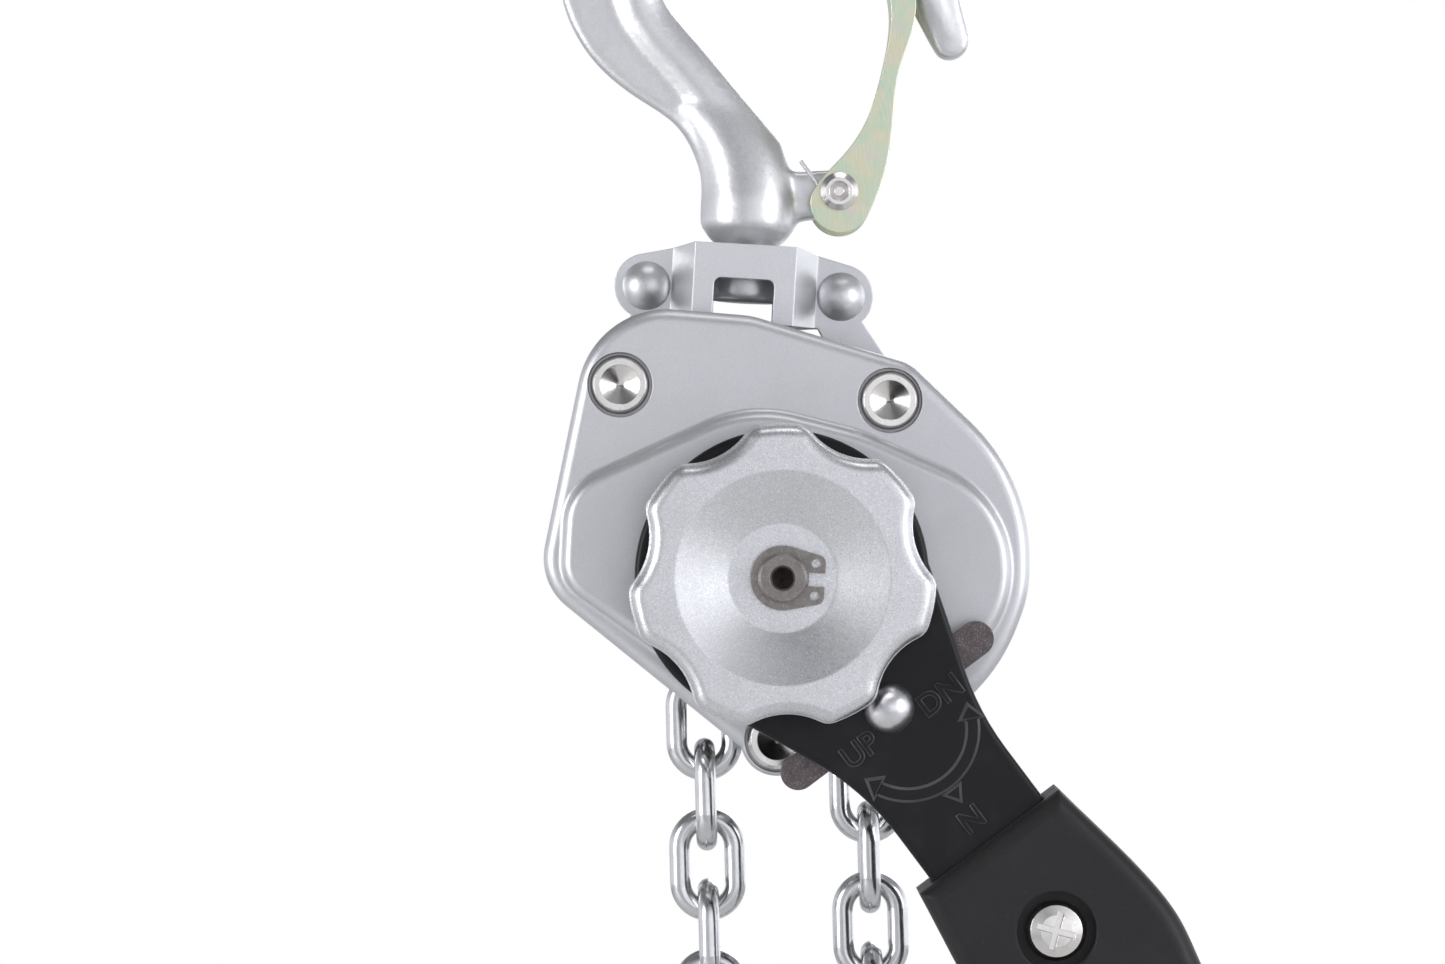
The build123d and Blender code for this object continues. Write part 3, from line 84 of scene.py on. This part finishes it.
# ---------------------------------------------------------------- materials
class Look:
    """One procedural material: a principled shader whose inputs are driven by textures in object space."""

    def __init__(self, name, colour, metallic, roughness, coat=0.0, sheen=0.0):
        self.material = bpy.data.materials.new(name)
        self.material.use_nodes = True
        self.tree = self.material.node_tree
        self.shader = self.tree.nodes["Principled BSDF"]
        self.shader.inputs["Base Color"].default_value = (*colour, 1)
        self.shader.inputs["Metallic"].default_value = metallic
        self.shader.inputs["Roughness"].default_value = roughness
        self.shader.inputs["Coat Weight"].default_value = coat
        self.shader.inputs["Coat Roughness"].default_value = 0.2
        self.shader.inputs["Sheen Weight"].default_value = sheen
        self.colour = colour
        self.height = None
        self.place = self.node("ShaderNodeTexCoord").outputs["Object"]

    def node(self, kind, **values):
        made = self.tree.nodes.new(kind)
        for key, value in values.items():
            setattr(made, key, value)
        return made

    def link(self, source, target):
        self.tree.links.new(source, target)

    def stretched(self, scale, origin=(0, 0, 0), turn=(0, 0, 0)):
        """Object space moved to an origin, turned and scaled."""
        moved = self.node("ShaderNodeVectorMath", operation="SUBTRACT")
        self.link(self.place, moved.inputs[0])
        moved.inputs[1].default_value = origin
        mapping = self.node("ShaderNodeMapping")
        mapping.inputs["Rotation"].default_value = turn
        mapping.inputs["Scale"].default_value = scale
        self.link(moved.outputs[0], mapping.inputs["Vector"])
        return mapping.outputs[0]

    def noise(self, size_mm, detail=3.0, place=None, distortion=0.0):
        """Cloudy value whose features are about size_mm across."""
        texture = self.node("ShaderNodeTexNoise")
        texture.inputs["Scale"].default_value = 1 / (size_mm * MM)
        texture.inputs["Detail"].default_value = detail
        texture.inputs["Distortion"].default_value = distortion
        self.link(place or self.place, texture.inputs["Vector"])
        return texture.outputs["Fac"]

    def grains(self, size_mm, place=None):
        """Random value per little cell, such as a paint flake or a casting grain."""
        cells = self.node("ShaderNodeTexVoronoi")
        cells.inputs["Scale"].default_value = 1 / (size_mm * MM)
        self.link(place or self.place, cells.inputs["Vector"])
        split = self.node("ShaderNodeSeparateColor")
        self.link(cells.outputs["Color"], split.inputs[0])
        return split.outputs[0]

    def band(self, value, low, high, start=0.0, finish=1.0):
        """value between low and high becomes start to finish, clamped."""
        span = self.node("ShaderNodeMapRange")
        span.inputs["From Min"].default_value = low
        span.inputs["From Max"].default_value = high
        span.inputs["To Min"].default_value = start
        span.inputs["To Max"].default_value = finish
        self.link(value, span.inputs["Value"])
        return span.outputs[0]

    def edges(self, radius_mm=0.5):
        """1 on convex or concave edges, 0 on flats."""
        bevel = self.node("ShaderNodeBevel")
        bevel.samples = 4
        bevel.inputs["Radius"].default_value = radius_mm * MM
        geometry = self.node("ShaderNodeNewGeometry")
        dot = self.node("ShaderNodeVectorMath", operation="DOT_PRODUCT")
        self.link(bevel.outputs[0], dot.inputs[0])
        self.link(geometry.outputs["Normal"], dot.inputs[1])
        return self.band(dot.outputs["Value"], 0.995, 0.85)

    def tint(self, mask, colour):
        """Where mask is 1 the base colour turns to colour."""
        mix = self.node("ShaderNodeMix", data_type="RGBA")
        socket = self.shader.inputs["Base Color"]
        if socket.is_linked:
            self.link(socket.links[0].from_socket, mix.inputs["A"])
        else:
            mix.inputs["A"].default_value = socket.default_value
        mix.inputs["B"].default_value = (*colour, 1)
        self.link(mask, mix.inputs["Factor"])
        self.link(mix.outputs["Result"], socket)

    def vary(self, name, mask, amount):
        """Adds amount times mask to a number input, such as Roughness."""
        socket = self.shader.inputs[name]
        add = self.node("ShaderNodeMath", operation="MULTIPLY_ADD", use_clamp=True)
        self.link(mask, add.inputs[0])
        add.inputs[1].default_value = amount
        if socket.is_linked:
            self.link(socket.links[0].from_socket, add.inputs[2])
        else:
            add.inputs[2].default_value = socket.default_value
        self.link(add.outputs[0], socket)

    def raise_by(self, value, depth_mm, rounded_mm=0.0):
        """Bump: value from 0 to 1 stands depth_mm proud; layers add up."""
        bump = self.node("ShaderNodeBump")
        bump.inputs["Strength"].default_value = 1.0
        bump.inputs["Distance"].default_value = depth_mm * MM
        self.link(value, bump.inputs["Height"])
        socket = self.shader.inputs["Normal"]
        if socket.is_linked:
            self.link(socket.links[0].from_socket, bump.inputs["Normal"])
        elif rounded_mm:
            bevel = self.node("ShaderNodeBevel")
            bevel.samples = 6
            bevel.inputs["Radius"].default_value = rounded_mm * MM
            self.link(bevel.outputs[0], bump.inputs["Normal"])
        self.link(bump.outputs[0], socket)


def silver_paint(name, colour, roughness, hammer_mm):
    look = Look(name, colour, 0.82, roughness)
    flake = look.grains(0.12)
    look.tint(look.band(flake, 0.55, 1.0, 0.0, 0.5), tuple(c * 1.25 for c in colour))
    look.tint(look.band(look.noise(9.0, 4), 0.4, 0.75, 0.0, 0.25), tuple(c * 0.82 for c in colour))
    look.tint(look.band(look.edges(0.45), 0.0, 1.0, 0.0, 0.35), (0.8, 0.8, 0.81))
    look.vary("Roughness", flake, 0.14)
    look.vary("Roughness", look.noise(4.0, 5), 0.08)
    look.raise_by(look.noise(1.6, 2), hammer_mm, rounded_mm=0.3)
    look.raise_by(look.noise(0.22, 3), 0.006)
    return look.material


cover_paint = silver_paint("satin_silver_paint", (0.6, 0.605, 0.62), 0.3, 0.004)
hook_paint = silver_paint("forged_silver_paint", (0.64, 0.645, 0.655), 0.27, 0.05)
yoke_paint = silver_paint("pressed_silver_paint", (0.64, 0.645, 0.66), 0.28, 0.02)


def cast_aluminium():
    look = Look("cast_aluminium", (0.66, 0.665, 0.68), 0.92, 0.25)
    around = look.stretched((1, 1, 1), origin=hub)
    speck = look.grains(0.16)
    look.tint(look.band(speck, 0.78, 0.98, 0.0, 0.4), (0.4, 0.4, 0.42))
    look.tint(look.band(look.grains(0.21), 0.75, 0.98, 0.0, 0.45), (0.9, 0.9, 0.9))
    look.tint(look.band(look.noise(7.0, 4), 0.45, 0.75, 0.0, 0.25), (0.5, 0.49, 0.48))
    rings = look.node("ShaderNodeTexWave", wave_type="RINGS", rings_direction="Y")
    rings.inputs["Scale"].default_value = 1200
    rings.inputs["Distortion"].default_value = 1.5
    rings.inputs["Detail"].default_value = 3
    look.link(around, rings.inputs["Vector"])
    look.vary("Roughness", speck, 0.18)
    look.raise_by(look.noise(0.3, 4), 0.014, rounded_mm=0.5)
    look.raise_by(rings.outputs["Fac"], 0.002)
    return look.material


def bright_steel(name, colour, roughness, scratch=0.06):
    look = Look(name, colour, 1.0, roughness)
    look.tint(look.band(look.noise(3.0, 4), 0.45, 0.75, 0.0, 0.35), tuple(c * 0.78 for c in colour))
    look.tint(look.band(look.noise(0.5, 3), 0.58, 0.72, 0.0, 0.3), (0.42, 0.42, 0.40))
    look.vary("Roughness", look.noise(1.2, 5), 0.16)
    fine = look.stretched((1, 1, 14), turn=(0.6, 0.9, 0.4))
    look.vary("Roughness", look.noise(0.9, 2, fine), scratch)
    look.raise_by(look.noise(0.7, 4), 0.008, rounded_mm=0.15)
    return look.material


chain_zinc = bright_steel("zinc_plated_chain", (0.66, 0.665, 0.67), 0.1)
nickel = bright_steel("polished_nickel", (0.74, 0.72, 0.69), 0.1)
zinc_pin = bright_steel("zinc_pin", (0.72, 0.72, 0.73), 0.2)
plate_zinc = bright_steel("zinc_plate", (0.6, 0.6, 0.6), 0.28)


def yellow_zinc():
    look = Look("yellow_passivated_zinc", (0.66, 0.65, 0.47), 1.0, 0.26)
    look.tint(look.band(look.noise(5.0, 3, distortion=1.0), 0.42, 0.62), (0.55, 0.66, 0.5))
    look.tint(look.band(look.noise(3.4, 4, distortion=0.6), 0.56, 0.7, 0.0, 0.6), (0.72, 0.58, 0.6))
    brushed = look.stretched((1, 1, 0.08), turn=(0, 0.35, 0))
    grain = look.noise(0.16, 3, brushed)
    look.tint(look.band(grain, 0.35, 0.7, 0.0, 0.35), (0.84, 0.84, 0.7))
    look.vary("Roughness", grain, 0.22)
    look.raise_by(grain, 0.012, rounded_mm=0.25)
    return look.material


def dark_steel(name, colour, speck_colour, roughness):
    look = Look(name, colour, 0.85, roughness)
    look.tint(look.band(look.grains(0.12), 0.86, 1.0, 0.0, 0.8), speck_colour)
    look.tint(look.band(look.noise(1.5, 5), 0.45, 0.7, 0.0, 0.5), tuple(c * 0.55 for c in colour))
    look.tint(look.band(look.edges(0.25), 0.0, 1.0, 0.0, 0.4), speck_colour)
    look.vary("Roughness", look.noise(0.6, 4), 0.2)
    look.raise_by(look.noise(0.18, 4), 0.02, rounded_mm=0.12)
    return look.material


clip_steel = dark_steel("phosphated_spring_steel", (0.24, 0.22, 0.21), (0.5, 0.46, 0.43), 0.34)
tab_steel = dark_steel("browned_steel", (0.135, 0.115, 0.118), (0.42, 0.38, 0.38), 0.3)
gear_steel = dark_steel("oiled_steel", (0.3, 0.29, 0.28), (0.5, 0.49, 0.47), 0.3)


def powder_coat():
    look = Look("black_powder_coat", (0.008, 0.008, 0.009), 0.0, 0.3)
    look.shader.inputs["Specular IOR Level"].default_value = 0.22
    look.tint(look.band(look.noise(6.0, 4), 0.5, 0.8, 0.0, 0.5), (0.02, 0.02, 0.021))
    look.tint(look.band(look.edges(0.35), 0.2, 1.0, 0.0, 0.25), (0.06, 0.06, 0.062))
    look.vary("Roughness", look.noise(2.5, 4), 0.1)
    look.raise_by(look.noise(0.55, 3), 0.022, rounded_mm=0.45)
    return look.material


def painted_highlight_coat():
    """The lever's black coat on its raised marks, with a painted highlight: flanks sloping away from the
    front are tinted a lighter grey.
    """
    look = Look("black_coat_painted_highlight", (0.008, 0.008, 0.009), 0.0, 0.3)
    look.shader.inputs["Specular IOR Level"].default_value = 0.22
    surface = look.node("ShaderNodeNewGeometry")
    split = look.node("ShaderNodeSeparateXYZ")
    look.link(surface.outputs["Normal"], split.inputs[0])
    facing = look.node("ShaderNodeMath", operation="ABSOLUTE")
    look.link(split.outputs["Y"], facing.inputs[0])
    # painted highlight: the more a flank turns away from the front, the lighter grey it is tinted
    slope = look.band(facing.outputs[0], 0.985, 0.8)
    look.tint(slope, (0.075, 0.075, 0.08))
    look.vary("Roughness", slope, -0.08)
    look.raise_by(look.noise(0.55, 3), 0.012)
    return look.material


def grip_plastic():
    look = Look("black_moulded_plastic", (0.012, 0.012, 0.0125), 0.0, 0.4, sheen=0.04)
    look.shader.inputs["Specular IOR Level"].default_value = 0.32
    look.tint(look.band(look.noise(8.0, 4), 0.5, 0.8, 0.0, 0.5), (0.02, 0.02, 0.021))
    look.tint(look.band(look.noise(0.4, 2), 0.68, 0.74, 0.0, 0.25), (0.06, 0.06, 0.06))
    look.vary("Roughness", look.noise(1.1, 5), 0.12)
    look.raise_by(look.noise(0.18, 3), 0.012, rounded_mm=0.6)
    return look.material


def lining_material():
    look = Look("friction_lining", (0.2, 0.14, 0.1), 0.0, 0.8)
    look.tint(look.band(look.grains(0.4), 0.75, 0.95), (0.45, 0.35, 0.2))
    look.raise_by(look.noise(0.4, 5), 0.05)
    return look.material


def bearing_bronze():
    look = Look("sintered_bronze", (0.5, 0.34, 0.17), 0.9, 0.4)
    look.tint(look.band(look.grains(0.2), 0.6, 1.0, 0.0, 0.5), (0.3, 0.2, 0.1))
    look.raise_by(look.noise(0.2, 4), 0.01)
    return look.material


knob_metal = cast_aluminium()
latch_zinc = yellow_zinc()
black_coat = powder_coat()
mark_coat = painted_highlight_coat()
grip_black = grip_plastic()

finishes = {
    cover_paint: ["brake_cover", "gear_cover"],
    yoke_paint: [
        "front_yoke_half", "rear_yoke_half", "yoke_rivets",
        "bottom_yoke_front", "bottom_yoke_rear", "bottom_yoke_rivets",
    ],
    hook_paint: ["top_hook", "bottom_hook"],
    knob_metal: ["hand_knob"],
    chain_zinc: ["chain_on_sheave", "load_chain", "tail_chain", "tail_stop_ring"],
    nickel: ["stay_bolts", "grip_screw", "top_latch_rivet", "bottom_latch_rivet"],
    zinc_pin: [
        "selector_pin", "chain_pin", "pawl_pin", "gear_axle", "detent_plunger", "detent_spring",
        "top_latch_spring", "bottom_latch_spring", "pawl_spring", "grip_nut", "stay_nuts",
    ],
    plate_zinc: ["front_side_plate", "rear_side_plate", "stay_spacers", "chain_guides", "chain_stripper"],
    latch_zinc: ["top_latch", "bottom_latch"],
    clip_steel: ["knob_clip", "drive_shaft"],
    tab_steel: ["selector_plate", "selector_pawl"],
    gear_steel: [
        "load_sheave", "load_gear", "gear_cluster", "brake_hub", "ratchet_disc", "threaded_hub",
        "change_gear", "pawl",
    ],
    black_coat: ["lever_front_shell", "lever_rear_shell"],
    grip_black: ["grip_front_half", "grip_rear_half"],
    lining_material(): ["friction_linings"],
    bearing_bronze(): ["sheave_bearings"],
}
for material, names in finishes.items():
    for name in names:
        for place in nodes[name].material_slots:
            place.material = material


# ---------------------------------------------------------------- forged hooks
forging_voxel = 0.5  # millimetres
forging_passes = 30


def forged(node, body):
    """The CAD hook with its joins blended as forging and paint leave them."""
    source = nodes[node]
    mesh = source.data.copy()
    piece = bpy.data.objects.new(f"{node}_forging", mesh)
    bpy.context.scene.collection.objects.link(piece)
    remesh = piece.modifiers.new("remesh", "REMESH")
    remesh.mode = "VOXEL"
    remesh.voxel_size = forging_voxel * MM
    smooth = piece.modifiers.new("smooth", "SMOOTH")
    smooth.factor = 0.5
    smooth.iterations = forging_passes
    depsgraph = bpy.context.evaluated_depsgraph_get()
    blended = bpy.data.meshes.new_from_object(piece.evaluated_get(depsgraph))
    piece.modifiers.clear()
    piece.data = blended
    blended.materials.clear()
    blended.materials.append(hook_paint)
    for face in blended.polygons:
        face.use_smooth = True
    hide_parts(node)
    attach(piece, body)
    return piece


forged("top_hook", "hanging_hook")
forged("bottom_hook", "bottom_hook_body")


# ---------------------------------------------------------------- raised marks on the lever
mark_height = 0.42  # of the arc and its arrows, in millimetres
mark_flank = 0.45  # width of their sloping flanks
letter_size = 5.2
letter_rise = 0.12
letter_bevel = 0.3


def on_lever(mesh, name):
    """Puts a flat mark, drawn in millimetres along and across the lever, on the lever's face."""
    piece = bpy.data.objects.new(name, mesh)
    bpy.context.scene.collection.objects.link(piece)
    mesh.materials.clear()
    mesh.materials.append(mark_coat)
    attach(piece, "lever_body")
    return piece


def raised_word(word, along, across):
    """Letters that read across the lever with their tops towards the drive axis."""
    curve = bpy.data.curves.new(word, "FONT")
    curve.body = word
    curve.size = letter_size * MM
    curve.align_x = "CENTER"
    curve.align_y = "CENTER"
    curve.offset = -0.1 * MM
    curve.extrude = letter_rise * MM
    curve.bevel_depth = letter_bevel * MM
    curve.bevel_resolution = 3
    letters = bpy.data.objects.new(word, curve)
    bpy.context.scene.collection.objects.link(letters)
    basis = Matrix((lever_across, -lever_along, Vector((0, -1, 0)))).transposed().to_4x4()
    letters.matrix_world = Matrix.Translation(lever_point(along, across, 0.05)) @ basis
    bpy.context.view_layer.update()
    mesh = bpy.data.meshes.new_from_object(letters.evaluated_get(bpy.context.evaluated_depsgraph_get()))
    mesh.transform(letters.matrix_world)
    bpy.data.objects.remove(letters)
    return on_lever(mesh, f"mark_{word.lower()}")


raised_word("UP", 30.3, -6.8)
raised_word("DN", 31.0, 9.0)
raised_word("N", 50.2, 1.0)


def raised_shape(name, foot, crest):
    """A pressed-up shape on the lever: sloping flanks from its foot outline up to its crest outline."""
    mesh = bpy.data.meshes.new(name)
    shape = bmesh.new()
    low = [shape.verts.new(lever_point(along, across)) for along, across in foot]
    high = [shape.verts.new(lever_point(along, across, mark_height)) for along, across in crest]
    for here in range(len(low)):
        after = (here + 1) % len(low)
        shape.faces.new((low[here], low[after], high[after], high[here]))
    shape.faces.new(high)
    shape.faces.new(low)
    bmesh.ops.recalc_face_normals(shape, faces=shape.faces)
    shape.to_mesh(mesh)
    shape.free()
    return on_lever(mesh, name)


arc_centre = (32.2, 1.4)
arc_radius = 10.6
arc_half = 1.25
arc_reach = radians(62)
arc_steps = 28


def around_arc(radius, angle):
    return (arc_centre[0] + radius * cos(angle), arc_centre[1] + radius * sin(angle))


def arc_band(half):
    """Outline of the arc's band, half its width each side of the arc's own line."""
    angles = [-arc_reach + 2 * arc_reach * step / arc_steps for step in range(arc_steps + 1)]
    outer = [around_arc(arc_radius + half, angle) for angle in angles]
    return outer + [around_arc(arc_radius - half, angle) for angle in reversed(angles)]


def shrunk(corners, inset):
    """Corners drawn in towards their middle."""
    middle = [sum(values) / len(corners) for values in zip(*corners)]
    drawn = []
    for corner in corners:
        arm = [middle[axis] - corner[axis] for axis in (0, 1)]
        share = inset / sqrt(arm[0] ** 2 + arm[1] ** 2)
        drawn.append((corner[0] + arm[0] * share, corner[1] + arm[1] * share))
    return drawn


raised_shape("mark_arc", arc_band(arc_half), arc_band(arc_half - mark_flank))
arrow_half = 2.4
arrow_length = radians(17)
for side in (-1, 1):
    end = side * arc_reach
    corners = [
        around_arc(arc_radius + arrow_half, end),
        around_arc(arc_radius, end + side * arrow_length),
        around_arc(arc_radius - arrow_half, end),
    ]
    raised_shape(f"mark_arrow_{'up' if side < 0 else 'dn'}", corners, shrunk(corners, 2 * mark_flank))
pointer = arc_centre[0] + arc_radius + arc_half
corners = [(pointer, -0.6), (pointer + 3.1, 1.4), (pointer, 3.4)]
raised_shape("mark_pointer", corners, shrunk(corners, 2 * mark_flank))

# ---------------------------------------------------------------- studio
wall_by_height = ((0.0, 1.0), (0.28, 0.7), (0.6, 0.22), (1.0, 0.3))
wall_by_side = ((0.0, 0.7), (0.42, 0.42), (0.56, 0.9), (0.8, 1.0))
wall_colour = (0.93, 0.94, 1.0, 1)
wall_strength = 1.6
floor_radius = 1.2
floor_gap = 0.02
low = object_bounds()[0][2]
floor_place = (0, 0, low - floor_gap)
bpy.ops.mesh.primitive_circle_add(vertices=96, radius=floor_radius, fill_type="NGON", location=floor_place)
floor = bpy.context.object
floor.name = "studio_floor"
pale = Look("pale_floor", (0.86, 0.86, 0.86), 0.0, 0.7)
pale.vary("Roughness", pale.noise(40, 2), 0.05)
floor.data.materials.append(pale.material)

world = bpy.data.worlds.new("studio")
bpy.context.scene.world = world
world.use_nodes = True
tree = world.node_tree
tree.nodes.clear()


def world_node(kind, **values):
    made = tree.nodes.new(kind)
    for key, value in values.items():
        setattr(made, key, value)
    return made


def grey_ramp(source, stops):
    """Brightness over a value, from (position, brightness) stops."""
    ramp = world_node("ShaderNodeValToRGB")
    keys = ramp.color_ramp.elements
    while len(keys) < len(stops):
        keys.new(0.5)
    for key, (position, bright) in zip(keys, stops):
        key.position = position
        key.color = (bright, bright, bright, 1)
    tree.links.new(source, ramp.inputs[0])
    return ramp.outputs[0]


# The walls are brightest level with the hoist and to its right; ceiling and floor stay dim.
direction = world_node("ShaderNodeTexCoord")
split = world_node("ShaderNodeSeparateXYZ")
tree.links.new(direction.outputs["Generated"], split.inputs[0])
level = world_node("ShaderNodeMath", operation="ABSOLUTE")
tree.links.new(split.outputs["Z"], level.inputs[0])
across = world_node("ShaderNodeMath", operation="MULTIPLY_ADD")
across.inputs[1].default_value = 0.5
across.inputs[2].default_value = 0.5
tree.links.new(split.outputs["X"], across.inputs[0])
by_height = grey_ramp(level.outputs[0], wall_by_height)
by_side = grey_ramp(across.outputs[0], wall_by_side)
both = world_node("ShaderNodeMix", data_type="RGBA", blend_type="MULTIPLY")
both.inputs["Factor"].default_value = 1.0
tree.links.new(by_height, both.inputs["A"])
tree.links.new(by_side, both.inputs["B"])
cool = world_node("ShaderNodeMix", data_type="RGBA", blend_type="MULTIPLY")
cool.inputs["Factor"].default_value = 1.0
cool.inputs["B"].default_value = wall_colour
tree.links.new(both.outputs["Result"], cool.inputs["A"])
lit = world_node("ShaderNodeBackground")
lit.inputs["Strength"].default_value = wall_strength
tree.links.new(cool.outputs["Result"], lit.inputs["Color"])
seen = world_node("ShaderNodeBackground")
seen.inputs["Color"].default_value = (1, 1, 1, 1)
rays = world_node("ShaderNodeLightPath")
mix = world_node("ShaderNodeMixShader")
output = world_node("ShaderNodeOutputWorld")
tree.links.new(rays.outputs["Is Camera Ray"], mix.inputs[0])
tree.links.new(lit.outputs[0], mix.inputs[1])
tree.links.new(seen.outputs[0], mix.inputs[2])
tree.links.new(mix.outputs[0], output.inputs[0])


def softbox(name, place, aim, width, height, power):
    data = bpy.data.lights.new(name, "AREA")
    data.shape = "RECTANGLE"
    data.size = width
    data.size_y = height
    data.energy = power
    lamp = bpy.data.objects.new(name, data)
    lamp.location = place
    lamp.rotation_euler = (Vector(aim) - Vector(place)).to_track_quat("-Z", "Y").to_euler()
    bpy.context.scene.collection.objects.link(lamp)
    return lamp


softbox("left", hub + Vector((-0.75, -0.5, 0.1)), hub, 0.3, 0.5, 3.4)
softbox("right", hub + Vector((0.8, -0.55, 0.15)), hub, 0.3, 0.6, 2.6)
softbox("top", hub + Vector((0.1, -0.2, 0.9)), hub, 0.5, 0.3, 1.0)
softbox("rim", hub + Vector((0.3, 0.9, 0.4)), hub, 0.6, 0.5, 2.0)

bpy.context.scene.view_settings.view_transform = "Standard"

# ---------------------------------------------------------------- camera
camera_roll = radians(1.5)
camera_distance = 0.780
camera_left = 0.00966  # of the drive axis, along the picture
camera_above = 0.0154
image_right = Vector((cos(camera_roll), 0, -sin(camera_roll)))
image_up = Vector((sin(camera_roll), 0, cos(camera_roll)))
camera_data = bpy.data.cameras.new("camera")
camera_data.lens = 113.6
camera_data.sensor_width = 36
camera_data.clip_start = 0.01
camera_data.clip_end = 20
camera = bpy.data.objects.new("camera", camera_data)
place = hub - image_right * camera_left + image_up * camera_above + Vector((0, -camera_distance, 0))
basis = Matrix((image_right, image_up, Vector((0, -1, 0)))).transposed().to_4x4()
camera.matrix_world = Matrix.Translation(place) @ basis
bpy.context.scene.collection.objects.link(camera)
bpy.context.scene.camera = camera
